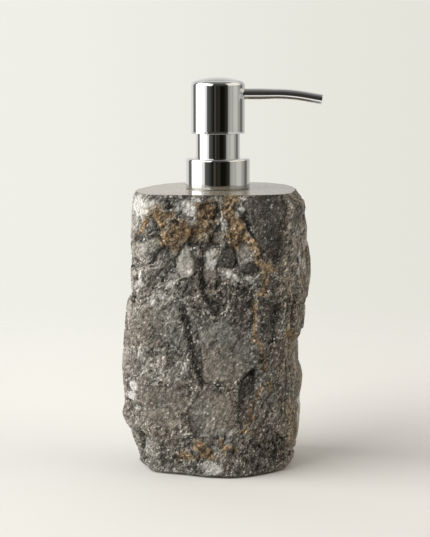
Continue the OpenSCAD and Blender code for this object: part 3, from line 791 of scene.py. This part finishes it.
def split_stone():
    """Broken grey limestone: small sharp chips, white flecks, pale edges, rust and upright layers, with
    painted light and shade on its chips, edges, grains and recesses.
    """
    material, t, shader, where = new_material("split_stone")
    rust, pale, tone = t.attribute("rust"), t.attribute("pale"), t.attribute("tone")
    edge, cavity, calm = t.attribute("edge"), t.attribute("cavity"), t.attribute("flat")
    layered = t.attribute("layered")
    lively = t.ramp(calm, 0.0, 1.0, 1.0, 0.5)

    blotch = t.noise(where, 60.0, 5.0, 0.6)
    grain = t.noise(where, 1150.0, 3.0, 0.65)
    fine = t.noise(where, 2300.0, 2.0, 0.6)
    mottle = t.noise(where, 380.0, 3.0, 0.6)
    stretched = t.vector("MULTIPLY", where, (1.0, 1.0, 0.14))
    streak = t.noise(stretched, 300.0, 5.0, 0.7)

    colour = t.mix(t.ramp(blotch, 0.3, 0.72), rgb(0.150, 0.139, 0.118), rgb(0.205, 0.190, 0.163))
    tint = t.mix(t.ramp(t.noise(where, 38.0, 3.0, 0.5), 0.4, 0.62), rgb(0.93, 0.99, 1.0), rgb(1.1, 1.0, 0.94))
    colour = t.mix(1.0, colour, tint, "MULTIPLY")
    # The tone attribute lightens and darkens the stone: partly its own tone, partly painted light and shade
    # from the flakes, tone areas and steps
    colour = t.mix(t.math("MULTIPLY", tone, 1.1, clamp=True), colour, rgb(0.56, 0.53, 0.475))
    colour = t.mix(t.math("MULTIPLY", tone, -1.0, clamp=True), colour, rgb(0.040, 0.036, 0.030))
    colour = t.over(colour, t.ramp(mottle, 0.5, 0.72), 0.2, (0.36, 0.335, 0.295))

    warm = t.times(layered, t.ramp(streak, 0.46, 0.6))
    colour = t.over(colour, warm, 0.9, (0.50, 0.375, 0.25))
    deep = t.times(layered, t.ramp(streak, 0.44, 0.32))
    colour = t.over(colour, deep, 0.85, (0.05, 0.04, 0.028))

    pale_share = t.times(pale, t.ramp(t.noise(where, 430.0, 4.0, 0.7), 0.34, 0.5))
    colour = t.over(colour, pale_share, 0.95, (0.88, 0.865, 0.83))

    rust_noise = t.noise(where, 300.0, 5.0, 0.7)
    rust_depth = t.ramp(t.noise(where, 620.0, 3.0, 0.65), 0.4, 0.62)
    rust_tone = t.mix(rust_depth, rgb(0.125, 0.082, 0.040), rgb(0.46, 0.34, 0.205))
    rust_share = t.times(rust, t.ramp(rust_noise, 0.3, 0.46))
    colour = t.mix(t.times(rust_share, 0.95), colour, rust_tone)

    # Convex edges made paler: partly crushed, paler stone, partly a painted highlight where the edges catch
    # the light
    broken = t.times(t.ramp(edge, 0.06, 0.4), t.ramp(grain, 0.36, 0.6))
    colour = t.over(colour, broken, 0.3, (0.60, 0.565, 0.50))
    # Painted shade: where the face lies below its surroundings it is darkened
    painted_cavity_shade = t.ramp(cavity, -0.12, -0.7)
    colour = t.over(colour, painted_cavity_shade, 0.7, (0.035, 0.030, 0.024))

    turn = {"Vector": where, "Axis": (0.0, 1.0, 0.0), "Angle": LAYERS_LEAN}
    leaning = t.add("VectorRotate", turn).outputs[0]
    drawn_out = t.vector("MULTIPLY", leaning, (0.45, 1.0, 1.0))
    swell = t.times(t.noise(drawn_out, 190.0, 4.0, 0.6, 0.5), 0.005)
    flakes, ledges = t.terraces(swell, 0.00034, 0.3)
    # Painted highlight: the ramps of the thin layers made paler, as rims that catch the light
    painted_ledge_highlight = t.times(ledges, lively, t.ramp(mottle, 0.46, 0.56))
    colour = t.over(colour, painted_ledge_highlight, 0.7, (0.70, 0.665, 0.60))
    # Painted highlight on the raised grains (lit) and painted shade in the pitted ones
    lit = t.times(t.ramp(grain, 0.58, 0.7), lively)
    colour = t.over(colour, lit, 0.2, (0.60, 0.57, 0.51))
    painted_pit_shade = t.times(t.ramp(grain, 0.42, 0.32), lively)
    colour = t.over(colour, painted_pit_shade, 0.3, (0.028, 0.024, 0.019))

    swirl = t.add("TexNoise", {"Vector": where, "Scale": 420.0}).outputs["Color"]
    swirl = t.vector("SUBTRACT", swirl, (0.5, 0.5, 0.5))
    bent = t.vector("ADD", drawn_out, t.vector("MULTIPLY", swirl, (0.002, 0.002, 0.002)))
    wide_chips, wide_shade = t.chips(bent, 270.0, 0.26)
    chips, shade = t.chips(bent, 620.0, 0.38)
    specks, speck_shade = t.chips(bent, 1500.0, 0.9)
    grainy = t.times(lively, t.ramp(t.math("MAXIMUM", rust, pale), 0.0, 1.0, 1.0, 0.5))
    # Each chip made lighter or darker: partly the stone's own tone, partly painted light and shade on the
    # tilted chips
    colour = t.mix(grainy, colour, t.ramp(wide_shade, 0.1, 1.0, 0.87, 1.15), "MULTIPLY")
    colour = t.mix(grainy, colour, t.ramp(shade, 0.1, 1.0, 0.76, 1.3), "MULTIPLY")
    colour = t.mix(grainy, colour, t.ramp(speck_shade, 0.1, 1.0, 0.36, 1.9), "MULTIPLY")
    to_border = t.voronoi(bent, 300.0, "DISTANCE_TO_EDGE").outputs["Distance"]
    border = t.times(t.ramp(to_border, 0.09, 0.02), lively)
    # Painted shadow along some chip borders, and painted highlight along others
    painted_chip_shadow = t.times(border, t.ramp(mottle, 0.49, 0.55))
    colour = t.over(colour, painted_chip_shadow, 0.85, (0.03, 0.026, 0.02))
    painted_chip_highlight = t.times(border, t.ramp(mottle, 0.46, 0.41))
    colour = t.over(colour, painted_chip_highlight, 0.6, (0.62, 0.585, 0.52))

    # White flecks: partly white crystals, partly painted glints
    flecks = t.voronoi(where, 640.0)
    chosen = t.math("GREATER_THAN", t.add("SeparateColor", {0: flecks.outputs["Color"]}).outputs[0], 0.9)
    near = t.times(t.ramp(flecks.outputs["Distance"], 0.4, 0.3), lively)
    colour = t.over(colour, t.times(chosen, near), 0.9, (0.86, 0.84, 0.79))
    colour = t.mix(t.times(rust_share, 0.75), colour, rgb(1.08, 0.86, 0.58), "MULTIPLY")
    colour = t.over(colour, pale_share, 0.45, (0.86, 0.85, 0.82))

    chips = t.math("ADD", t.math("ADD", wide_chips, chips), t.math("ADD", specks, flakes))
    waves = t.times(streak, layered, 0.0014)
    rest = t.math("ADD", t.times(grain, 0.0004), waves)
    relief = t.math("ADD", t.times(chips, lively), rest)
    t.dress(shader, colour, t.ramp(fine, 0.2, 0.8, 0.62, 0.9), t.bump(relief, 1.0, 1.0))
    return material


def sawn_stone():
    """The same stone sawn flat and honed: smooth, paler, with a fine even grain."""
    material, t, shader, where = new_material("sawn_stone")
    blotch = t.noise(where, 70.0, 5.0, 0.6)
    grain = t.noise(where, 1100.0, 3.0, 0.6)
    colour = t.mix(blotch, rgb(0.235, 0.208, 0.158), rgb(0.33, 0.295, 0.23))
    colour = t.over(colour, t.ramp(grain, 0.5, 0.7), 0.4, (0.44, 0.40, 0.33))
    # Painted shade: the sawn top is darkened towards the right
    darker = t.ramp(t.add("SeparateXYZ", {0: where}).outputs[0], -0.02, 0.05, 0.0, 0.85)
    colour = t.mix(darker, colour, rgb(0.12, 0.10, 0.07))
    shader.inputs["IOR"].default_value = 1.42
    t.dress(shader, colour, t.ramp(grain, 0.3, 0.7, 0.16, 0.26), t.bump(grain, 0.05, 0.0002))
    return material


def chrome():
    """Bright chromium plate over polished metal, with the faintest waviness."""
    material, t, shader, where = new_material("chrome")
    haze = t.noise(where, 90.0, 3.0, 0.5)
    colour = t.mix(haze, rgb(0.60, 0.605, 0.61), rgb(0.68, 0.685, 0.69))
    waviness = t.bump(t.noise(where, 160.0, 1.0, 0.4), 0.02, 0.0002)
    t.dress(shader, colour, t.ramp(haze, 0.3, 0.7, 0.02, 0.045), waviness, metallic=1.0)
    return material


def steel():
    """Drawn stainless wire and ground balls."""
    material, t, shader, where = new_material("stainless")
    drawn = t.noise(t.vector("MULTIPLY", where, (1.0, 1.0, 3.0)), 1500.0, 3.0, 0.6)
    colour = t.mix(drawn, rgb(0.50, 0.49, 0.47), rgb(0.66, 0.65, 0.63))
    t.dress(shader, colour, t.ramp(drawn, 0.3, 0.7, 0.22, 0.4), t.bump(drawn, 0.1, 0.0001), metallic=1.0)
    return material


def moulded(name, dark, light, rough, clear=0.0, grain_scale=1300.0):
    """A moulded plastic or rubber: two close tones, a fine mould texture, and some light let through."""
    material, t, shader, where = new_material(name)
    cloud = t.noise(where, 140.0, 3.0, 0.5)
    grain = t.noise(where, grain_scale, 3.0, 0.6)
    colour = t.mix(t.ramp(cloud, 0.3, 0.7), rgb(*dark), rgb(*light))
    roughness = t.ramp(grain, 0.3, 0.7, rough - 0.06, rough + 0.06)
    t.dress(shader, colour, roughness, t.bump(grain, 0.12, 0.00012))
    shader.inputs["Transmission Weight"].default_value = clear
    return material


def foam():
    """A sheet of black closed-cell foam."""
    material, t, shader, where = new_material("foam")
    bubbles = t.voronoi(where, 1600.0).outputs["Distance"]
    colour = t.mix(t.ramp(bubbles, 0.1, 0.5), rgb(0.045, 0.045, 0.047), rgb(0.012, 0.012, 0.013))
    t.dress(shader, colour, 0.9, t.bump(bubbles, 0.6, 0.0004))
    return material


def dress_cad_nodes():
    """Gives the CAD nodes that stay on show their materials, by the record's material slots."""
    made = {
        "white_plastic": moulded("white_plastic", (0.74, 0.73, 0.70), (0.82, 0.81, 0.78), 0.34),
        "natural_plastic": moulded("natural_plastic", (0.66, 0.66, 0.62), (0.76, 0.75, 0.71), 0.4, 0.12),
        "tube_plastic": moulded("tube_plastic", (0.78, 0.79, 0.77), (0.86, 0.87, 0.85), 0.24, 0.55),
        "black_rubber": moulded(
            "black_rubber", (0.014, 0.014, 0.015), (0.03, 0.03, 0.031), 0.62, grain_scale=2600.0
        ),
        "silicone": moulded("silicone", (0.56, 0.55, 0.53), (0.66, 0.65, 0.63), 0.48),
        "stainless": steel(),
        "chrome": chrome(),
        "foam": foam(),
        "sawn_stone": bpy.data.materials["sawn_stone"],
        "split_stone": bpy.data.materials["split_stone"],
    }
    for name, entry in slots_by_node().items():
        mesh = NODES[name].data
        mesh.materials.clear()
        mesh.materials.append(made[entry])
    return made


def slots_by_node():
    """Which of the record's material slots each CAD node takes."""
    found = {}
    for sub in frame["record"]["subparts"]:
        for node in sub.get("nodes", [sub.get("node")]):
            found[node] = sub["material_slot"]
    return found


# ---- Turned, swept and coiled metal ----

def arc(cx, cz, r, start, end, steps):
    """Points on an arc in a profile, from one angle to another, in degrees."""
    return [
        (cx + r * math.cos(math.radians(a)), cz + r * math.sin(math.radians(a)))
        for a in np.linspace(start, end, steps)
    ]


def subdivided(profile, longest):
    """The profile with its long stretches split, so that a turned face has even quads."""
    out = []
    for a, b in zip(profile, profile[1:] + profile[:1]):
        steps = max(1, math.ceil(math.dist(a, b) / longest))
        out += [(a[0] + (b[0] - a[0]) * k / steps, a[1] + (b[1] - a[1]) * k / steps) for k in range(steps)]
    return out


def face_outwards(mesh, weld=None):
    """Turns the faces outwards, after welding corners that are within that many metres of each other."""
    work = bmesh.new()
    work.from_mesh(mesh)
    if weld:
        bmesh.ops.remove_doubles(work, verts=work.verts, dist=weld)
    bmesh.ops.recalc_face_normals(work, faces=work.faces)
    work.to_mesh(mesh)
    work.free()
    return mesh


def finish_piece(name, mesh, material, body, node, sharp=35.0):
    """Shades a mesh smooth but for its sharp edges, and makes it a piece that stands for a CAD node."""
    mesh.polygons.foreach_set("use_smooth", np.ones(len(mesh.polygons), bool))
    mesh.set_sharp_from_angle(angle=math.radians(sharp))
    mesh.materials.append(material)
    mesh.update()
    piece = add_object(name, mesh)
    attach(piece, body)
    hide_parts(node)
    return piece


def turned(name, profile, segments=192, longest=1.6):
    """A closed profile of (radius, height) in mm, turned about the pump's axis."""
    profile = subdivided(profile, longest)
    n = len(profile)
    a = np.arange(segments) * 2 * math.pi / segments
    r, z = np.array(profile).T
    points = np.stack(
        [np.outer(np.cos(a), r), np.outer(np.sin(a), r), np.broadcast_to(z, (segments, n))], axis=2
    ).reshape(-1, 3)
    faces = []
    for s in range(segments):
        after = (s + 1) % segments
        for k in range(n):
            j = (k + 1) % n
            faces.append((s * n + k, after * n + k, after * n + j, s * n + j))
    return face_outwards(new_mesh(name, (points * MM).tolist(), faces), weld=1e-6)


def swept(name, stations, sides):
    """A closed tube through stations of (centre, direction, radius). The last ring joins the first."""
    points = []
    for centre, direction, radius in stations:
        ahead = Vector(direction).normalized()
        side = Vector((0, 1, 0))
        up = ahead.cross(side)
        for k in range(sides):
            a = 2 * math.pi * k / sides
            points.append((Vector(centre) + float(radius) * (math.cos(a) * side + math.sin(a) * up)) * MM)
    starts = [k * sides for k in range(len(stations))] + [0]
    return face_outwards(new_mesh(name, points, ring_faces(starts, sides)))


def make_collar(material):
    """The chromed collar: a thin cup with a rounded shoulder and a small rolled lip round the sleeve."""
    low, high = mm_box("collar_shell")
    wall, edge, lip, clearance = 0.6, 1.2, 0.25, 0.35
    r, hole = high[0], mm_box("neck_sleeve")[1][0] + clearance
    foot, top = low[2], high[2]
    profile = (
        [(r - lip, foot)]
        + arc(r - lip, foot + lip, lip, -90, 0, 4)[1:]
        + arc(r - edge, top - edge, edge, 0, 90, 10)
        + arc(hole + lip, top - lip, lip, 90, 180, 5)
        + [(hole, top - wall), (r - wall, top - wall), (r - wall, foot)]
    )
    mesh = turned("collar", profile)
    finish_piece("chromed_collar", mesh, material, "collar", "collar_shell")


def make_sleeve(material):
    """The chromed sleeve over the retaining cap."""
    low, high = mm_box("neck_sleeve")
    r, wall, lip, lip_r = high[0], 0.5, 0.3, 9.0
    foot, top = low[2], high[2]
    profile = (
        [(r, foot)]
        + arc(r - lip, top - lip, lip, 0, 90, 6)
        + [(lip_r, top), (lip_r, top - wall), (r - wall, top - wall), (r - wall, foot)]
    )
    mesh = turned("sleeve", profile)
    finish_piece("chromed_sleeve", mesh, material, "pump_unit", "neck_sleeve")


def crown_profile(r, top, crown_r, edge):
    """A shallow round crown that runs into the side through a round edge, from the side to the axis."""
    centre_z = top - crown_r
    edge_x = r - edge
    edge_z = centre_z + math.sqrt((crown_r - edge) ** 2 - edge_x ** 2)
    meet = math.degrees(math.atan2(edge_z - centre_z, edge_x))
    return arc(edge_x, edge_z, edge, 0, meet, 12) + arc(0, centre_z, crown_r, meet, 90, 22)[1:]


def make_head(material):
    """The chromed pressing head, with the spout's hole cut through its side."""
    low, high = mm_box("head_shell")
    r, wall, lip, edge, crown_r = high[0], 0.6, 0.3, 2.6, 36.0
    foot, top = low[2], high[2]
    inner_r, inner_top = r - wall, mm_box("head_core")[1][2]
    dome_r, dome_top = inner_r - 2.2, inner_top + 1.6
    profile = (
        [(r - lip, foot)]
        + arc(r - lip, foot + lip, lip, -90, 0, 4)[1:]
        + crown_profile(r, top, crown_r, edge)
        + [(0, dome_top), (dome_r, dome_top), (dome_r, inner_top), (inner_r, inner_top), (inner_r, foot)]
    )
    mesh = turned("head", profile)
    piece = finish_piece("chromed_head", mesh, material, "head", "head_shell")
    hole_r, inside_shell, past_shell = 2.8, 6.0, 3.0
    hole = cutter(spout_height(), hole_r, inside_shell, r + past_shell)
    cut = piece.modifiers.new("spout_hole", "BOOLEAN")
    cut.operation, cut.solver, cut.object = "DIFFERENCE", "EXACT", hole
    apply_modifiers(piece)
    piece.data.set_sharp_from_angle(angle=math.radians(35))
    bpy.data.objects.remove(hole)


def cutter(z, r, start, end, sides=64):
    """A round bar along +X, to cut a hole with."""
    point = 1e-4
    ends = ((start, point), (start, r), (end, r), (end, point))
    return add_object("cutter", swept("cutter", [((x, 0, z), (1, 0, 0), size) for x, size in ends], sides))


def apply_modifiers(piece):
    """Replaces the piece's mesh by what its modifiers make of it."""
    bpy.context.view_layer.update()
    evaluated = piece.evaluated_get(bpy.context.evaluated_depsgraph_get())
    mesh = bpy.data.meshes.new_from_object(evaluated)
    piece.modifiers.clear()
    piece.data = mesh


def spout_height():
    """The height of the spout's axis at its root, where its seal is."""
    low, high = mm_box("spout_seal")
    return (low[2] + high[2]) / 2


def make_spout(material):
    """The chromed spout: straight, then a slow bend down to an open end with a rolled lip."""
    z = spout_height()
    start, taper_x, bend_x, bend_r, bend, tip = 4.5, 20.0, 28.0, 80.0, 10.0, 8.3
    root_r, tip_r, wall, lip, inner_lip = 2.7, 2.45, 0.6, 0.2, 0.08
    ahead = Vector((math.cos(math.radians(bend)), 0, -math.sin(math.radians(bend))))
    line = [(Vector((x, 0, z)), Vector((1, 0, 0)), root_r) for x in np.linspace(start, taper_x, 12)]
    line += [
        (Vector((x, 0, z)), Vector((1, 0, 0)), root_r + (tip_r - root_r) * (x - taper_x) / (bend_x - taper_x))
        for x in np.linspace(taper_x, bend_x, 8)[1:]
    ]
    for a in np.radians(np.linspace(0, bend, 16)[1:]):
        at = Vector((bend_x + bend_r * math.sin(a), 0, z - bend_r + bend_r * math.cos(a)))
        line.append((at, Vector((math.cos(a), 0, -math.sin(a))), tip_r))
    bend_end = line[-1][0]
    line += [(bend_end + ahead * s, ahead, tip_r) for s in np.linspace(0, tip - lip, 8)[1:]]
    end = bend_end + ahead * tip
    rim = [
        (end - ahead * lip * (1 - math.sin(b)), ahead, tip_r - lip * (1 - math.cos(b)))
        for b in np.radians([30, 60, 90])
    ]
    rim += [(end, ahead, tip_r - wall + inner_lip), (end - ahead * inner_lip, ahead, tip_r - wall)]
    inner = [(c, d, r - wall) for c, d, r in reversed(line)]
    mesh = swept("spout", line + rim + inner, 72)
    finish_piece("chromed_spout", mesh, material, "head", "spout_tube", 40.0)


def make_spring(material):
    """The return spring: round wire, with its end turns wound flat."""
    low, high = mm_box("return_spring")
    wire = 0.45
    coil = high[0] - wire
    turns, per_turn, sides = 7, 48, 16
    count = turns * per_turn
    flat = per_turn / 2
    bottom, top = low[2] + wire, high[2] - wire
    points = []
    for k in range(count + 1):
        a = 2 * math.pi * k / per_turn
        share = min(1.0, max(0.0, (k - flat) / (count - 2 * flat)))
        z = bottom + (top - bottom) * share
        for s in range(sides):
            b = 2 * math.pi * s / sides
            r = coil + wire * math.cos(b)
            points.append((r * math.cos(a) * MM, r * math.sin(a) * MM, (z + wire * math.sin(b)) * MM))
    faces = ring_faces([k * sides for k in range(count + 1)], sides)
    faces += [tuple(range(sides)), tuple(count * sides + s for s in reversed(range(sides)))]
    mesh = face_outwards(new_mesh("spring", points, faces))
    piece = finish_piece("coil_spring", mesh, material, "pump_unit", "return_spring")
    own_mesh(piece)


# ---- Floor and light ----

def make_floor():
    """A round pale sheet that fades out at its edge. Only the camera sees its front part: what the chrome
    mirrors there is the world's TABLE.
    """
    radius, rings, sides, front_edge = 0.6, 24, 96, 0.15
    points = [(0.0, 0.0, 0.0)]
    for k in range(1, rings + 1):
        r = radius * k / rings
        points += [(r * math.cos(a), r * math.sin(a), 0.0) for a in np.arange(sides) * 2 * math.pi / sides]
    faces = [(0, 1 + i, 1 + (i + 1) % sides) for i in range(sides)]
    faces += ring_faces([1 + k * sides for k in range(rings)], sides)
    mesh = new_mesh("floor", points, faces)
    floor = add_object("floor", mesh)

    material = bpy.data.materials.new("pale_floor")
    t = Tree(material)
    where = t.add("TexCoord").outputs["Object"]
    axes = t.add("SeparateXYZ", {0: where})
    across, along_y = axes.outputs[0], axes.outputs[1]
    # Painted light: the floor is paler on the left, towards the softbox, and darker on the right
    tone = t.mix(t.ramp(across, -0.12, 0.12), rgb(0.83, 0.83, 0.81), rgb(0.75, 0.742, 0.728))
    fibre = t.noise(where, 900.0, 3.0, 0.6)
    diffuse = t.add("BsdfDiffuse", {"Color": t.over(tone, fibre, 0.03, (0.7, 0.7, 0.7))})
    clear = t.add("BsdfTransparent")
    out = t.add("VectorMath", {0: where}, operation="LENGTH").outputs["Value"]
    not_seen = t.math("SUBTRACT", 1.0, t.add("LightPath").outputs["Is Camera Ray"])
    in_front = t.times(t.ramp(along_y, -front_edge, -front_edge - 0.02), not_seen)
    fade = t.math("MAXIMUM", t.ramp(out, 0.3 * radius, radius), in_front)
    surface = t.add("MixShader", {0: fade, 1: diffuse.outputs[0], 2: clear.outputs[0]})
    t.add("OutputMaterial", {"Surface": surface.outputs[0]})
    mesh.materials.append(material)


# What stands round the object at its own height, as (bearing, red, green, blue). The bearing is 0 in front
# and grows to the right.
ROOM = [
    (-180, 0.86, 0.85, 0.82), (-150, 0.95, 0.94, 0.91), (-131, 0.95, 0.94, 0.91), (-128, 0.2, 0.2, 0.195),
    (-106, 0.2, 0.2, 0.195), (-62, 1.25, 1.25, 1.25), (-50, 1.15, 1.15, 1.15), (-46.5, 0.14, 0.14, 0.13),
    (-36, 0.105, 0.108, 0.096), (-24, 0.03, 0.031, 0.026), (-18, 0.009, 0.009, 0.007),
    (-16, 0.012, 0.011, 0.009), (-14, 0.10, 0.093, 0.075), (-9, 0.07, 0.065, 0.052),
    (-6, 0.018, 0.016, 0.012), (-1, 0.036, 0.032, 0.026), (7, 0.034, 0.032, 0.025), (11, 0.006, 0.006, 0.004),
    (27, 0.008, 0.008, 0.005), (33, 0.03, 0.027, 0.02), (42, 0.042, 0.039, 0.03), (45.5, 0.43, 0.43, 0.39),
    (61, 0.64, 0.63, 0.56), (65, 0.50, 0.49, 0.43), (71, 0.74, 0.73, 0.66), (88, 0.76, 0.75, 0.68),
    (99, 0.46, 0.45, 0.40), (108, 0.42, 0.41, 0.36), (112, 0.19, 0.18, 0.15), (125, 0.20, 0.19, 0.16),
    (131, 0.58, 0.57, 0.53), (180, 0.86, 0.85, 0.82)
]

# The ceiling and the backdrop, as (angle from straight ahead up and over to behind, red, green, blue)
DOME = [
    (0, 0.02, 0.02, 0.018), (16, 0.07, 0.067, 0.06), (37, 0.055, 0.053, 0.048), (60, 0.17, 0.168, 0.16),
    (85, 0.32, 0.32, 0.31), (115, 0.42, 0.42, 0.41), (124, 1.15, 1.14, 1.10), (137, 1.15, 1.14, 1.10),
    (141, 0.60, 0.59, 0.57), (165, 0.60, 0.59, 0.57), (172, 0.86, 0.85, 0.82), (180, 0.86, 0.85, 0.82)
]

# The table in front, as (angle below the horizon, red, green, blue)
TABLE = [
    (0, 0.02, 0.018, 0.014), (12, 0.08, 0.073, 0.062), (29, 0.10, 0.092, 0.08), (34, 1.4, 1.38, 1.33),
    (62, 1.4, 1.38, 1.33), (68, 0.8, 0.79, 0.76)
]


def make_studio():
    """Soft light: a tall softbox on the left, a pale card on the right, paper behind, and dark in front."""
    world = bpy.data.worlds.new("studio")
    bpy.context.scene.world = world
    t = Tree(world)
    direction = t.add("TexCoord").outputs["Generated"]
    axes = t.add("SeparateXYZ", {0: direction})
    x, y, z = (axes.outputs[k] for k in range(3))
    towards = t.times(y, -1.0)
    bearing = t.times(t.math("ARCTAN2", x, towards), 180 / math.pi)
    height = t.times(t.math("ARCSINE", z), 180 / math.pi)
    over = t.times(t.math("ARCTAN2", z, towards), 180 / math.pi)
    aside = t.math("ABSOLUTE", bearing)

    ahead = t.ramp(aside, 40.0, 50.0, 1.0, 0.0)
    room = t.stops(bearing, -180.0, 180.0, ROOM)
    dome = t.stops(over, 0.0, 180.0, DOME)
    over_front = t.times(ahead, t.ramp(height, 7.0, 13.0))
    over_back = t.times(t.ramp(aside, 124.0, 140.0), t.ramp(height, 20.0, 36.0))
    to_dome = t.math("MAXIMUM", over_front, t.ramp(height, 50.0, 62.0))
    to_dome = t.math("MAXIMUM", to_dome, over_back)
    light = t.mix(to_dome, room, dome)
    table = t.mix(ahead, rgb(0.80, 0.79, 0.76), t.stops(t.times(height, -1.0), 0.0, 90.0, TABLE))
    light = t.mix(t.ramp(height, -6.0, -10.0), light, table)
    card = t.times(t.band(bearing, 46.0, 124.0, 6.0), t.band(height, 16.0, 58.0, 5.0))
    light = t.mix(card, light, rgb(1.3, 1.2, 1.04))
    wide = t.ramp(height, 10.0, 16.0, 1.0, 0.0)
    low_part = t.times(wide, t.ramp(height, -17.0, -11.0))
    low_part = t.times(t.band(bearing, -106.5, -62.0, 1.5), low_part)
    high_part = t.times(t.band(bearing, -110.0, -28.0, 6.0), t.band(height, 14.0, 50.0, 3.0))
    light = t.mix(t.math("MAXIMUM", low_part, high_part), light, rgb(4.8, 4.7, 4.5))
    lit = t.add("Background", {"Color": light, "Strength": 1.0})

    # Painted light: the paper behind is paler on the left, towards the softbox, and darker on the right
    paper = t.mix(t.ramp(x, -0.12, 0.12), rgb(0.871, 0.865, 0.805), rgb(0.783, 0.776, 0.708))
    paper = t.mix(t.ramp(y, 0.2, -0.2), paper, rgb(0.90, 0.895, 0.875))
    seen = t.add("Background", {"Color": paper, "Strength": 1.0})
    camera_ray = t.add("LightPath").outputs["Is Camera Ray"]
    surface = t.add("MixShader", {0: camera_ray, 1: lit.outputs[0], 2: seen.outputs[0]})
    t.add("OutputWorld", {"Surface": surface.outputs[0]})


def set_colours():
    """Colours go straight to the screen, with no film look."""
    view = bpy.context.scene.view_settings
    view.view_transform = "Standard"
    view.look = "None"


make_camera()
set_colours()
make_studio()
make_floor()
make_stone()
materials = dress_cad_nodes()
make_collar(materials["chrome"])
make_sleeve(materials["chrome"])
make_head(materials["chrome"])
make_spout(materials["chrome"])
make_spring(materials["stainless"])
